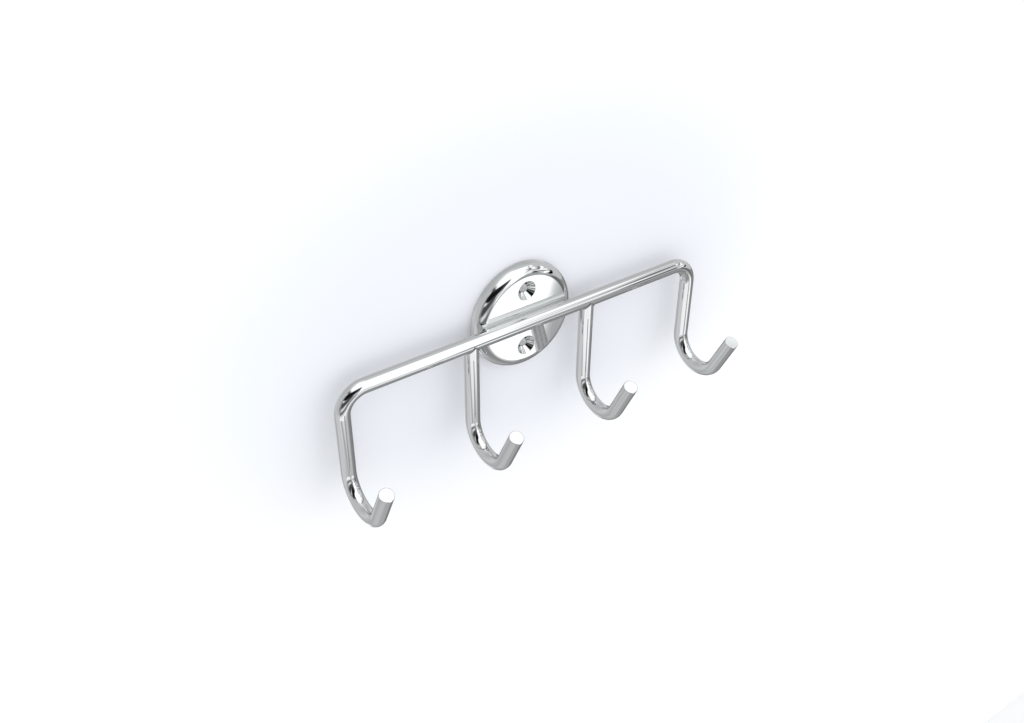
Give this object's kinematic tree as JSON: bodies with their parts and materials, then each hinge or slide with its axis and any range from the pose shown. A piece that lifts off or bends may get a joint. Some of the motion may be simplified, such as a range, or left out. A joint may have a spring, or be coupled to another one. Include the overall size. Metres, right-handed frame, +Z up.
{
  "type": "wall hook rack",
  "caption": "Polished metal wall rack: a bent rod rail with upturned hooks, welded across a round plate with countersunk screw holes.",
  "frame": {"origin": "centre of the plate's back, in the plane of the wall, midway between the two screw holes", "axes": "+X along the rail to the right as seen from the room, +Y into the wall, +Z up"},
  "size_m": [0.233, 0.0554, 0.099],
  "materials": {
    "polished_plate": "mirror polished",
    "polished_rod": "mirror polished",
    "polished_weld": "ground and polished"
  },
  "bodies": {
    "root": {"back_plate": "polished_plate", "hook_rail": "polished_rod", "left_inner_hook": "polished_rod", "right_inner_hook": "polished_rod", "upper_rail_weld": "polished_weld", "lower_rail_weld": "polished_weld", "left_hook_weld": "polished_weld", "right_hook_weld": "polished_weld"}
  },
  "joints": []
}
